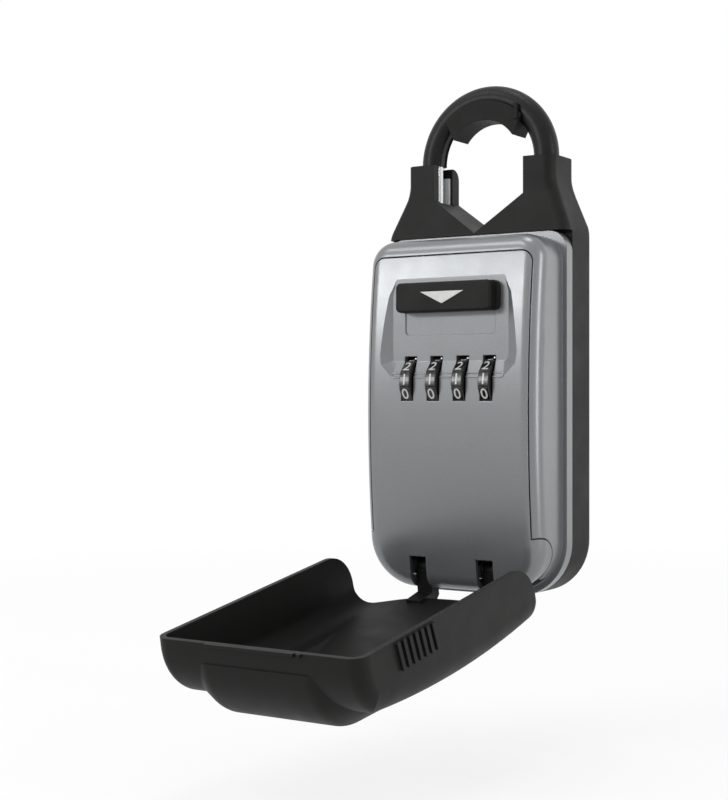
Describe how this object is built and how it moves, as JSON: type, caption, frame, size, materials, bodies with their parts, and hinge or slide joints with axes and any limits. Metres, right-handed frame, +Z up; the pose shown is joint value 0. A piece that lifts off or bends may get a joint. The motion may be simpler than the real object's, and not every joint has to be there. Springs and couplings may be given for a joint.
{
  "type": "portable key safe",
  "caption": "Portable key safe with a shackle loop, number wheels, a hinged door, an open slider and a hinged weather cover, shown with its cover hanging open.",
  "frame": {"origin": "centre of the shackle loop, on the middle of the pad's bed", "axes": "+X to the right seen from the front, +Y to the flat back, +Z up through the top of the shackle"},
  "size_m": [0.0862, 0.1732, 0.2368],
  "materials": {
    "zinc": "satin silver die casting",
    "steel": "bright steel",
    "brass": "plain",
    "black_shell": "fine grained black moulding",
    "black_wheel": "black with white numerals",
    "black_coating": "smooth black coating",
    "soft_pad": "soft black pad",
    "white_inlay": "white",
    "grey_plastic": "grey moulding"
  },
  "bodies": {
    "case": {"case_body": "zinc", "rear_jacket": "black_shell", "hinge_pin": "steel", "case_screws": "steel"},
    "door": {"front_door": "zinc", "lock_housing": "grey_plastic", "housing_screws": "steel", "dial_axle": "steel", "detent_spring": "steel", "latch_springs": "steel"},
    "cover": {"weather_cover": "black_shell"},
    "slider": {"open_slider": "black_shell", "slider_arrow": "white_inlay", "latch_plate": "steel", "latch_fingers": "steel"},
    "lever": {"code_lever": "black_shell"},
    "shackle": {"shackle_core": "steel", "shackle_sleeve": "black_coating", "saddle_pad": "soft_pad", "stop_ring": "steel"},
    "latch": {"shackle_latch": "steel", "release_button": "black_shell"},
    "wheel_1": {"dial_1": "black_wheel", "cam_1": "brass"},
    "wheel_2": {"dial_2": "black_wheel", "cam_2": "brass"},
    "wheel_3": {"dial_3": "black_wheel", "cam_3": "brass"},
    "wheel_4": {"dial_4": "black_wheel", "cam_4": "brass"}
  },
  "joints": [
    {"name": "door_hinge", "type": "hinge", "parent": "case", "child": "door", "pos_m": [0, -0.0238, -0.1654], "axis": [-1, 0, 0], "range_deg": [-90, 0]},
    {"name": "cover_hinge", "type": "hinge", "parent": "case", "child": "cover", "pos_m": [0, -0.0238, -0.1654], "axis": [-1, 0, 0], "range_deg": [0, 99.8]},
    {"name": "open_slide", "type": "slide", "parent": "door", "child": "slider", "axis": [0, 0, -1], "range_m": [0, 0.008], "stiffness_N_per_m": 300, "springref_m": -0.004, "deforming": ["latch_springs"]},
    {"name": "lever_slide", "type": "slide", "parent": "door", "child": "lever", "axis": [1, 0, 0], "range_m": [0, 0.005]},
    {"name": "shackle_lift", "type": "slide", "parent": "case", "child": "shackle", "axis": [0, 0, 1], "range_m": [0, 0.0468]},
    {"name": "latch_slide", "type": "slide", "parent": "case", "child": "latch", "axis": [1, 0, 0], "range_m": [-0.0024, 0]},
    {"name": "wheel_1_spin", "type": "hinge", "parent": "door", "child": "wheel_1", "pos_m": [-0.01785, -0.0289, -0.0913], "axis": [1, 0, 0], "continuous": true},
    {"name": "wheel_2_spin", "type": "hinge", "parent": "door", "child": "wheel_2", "pos_m": [-0.00595, -0.0289, -0.0913], "axis": [1, 0, 0], "continuous": true},
    {"name": "wheel_3_spin", "type": "hinge", "parent": "door", "child": "wheel_3", "pos_m": [0.00595, -0.0289, -0.0913], "axis": [1, 0, 0], "continuous": true},
    {"name": "wheel_4_spin", "type": "hinge", "parent": "door", "child": "wheel_4", "pos_m": [0.01785, -0.0289, -0.0913], "axis": [1, 0, 0], "continuous": true}
  ]
}
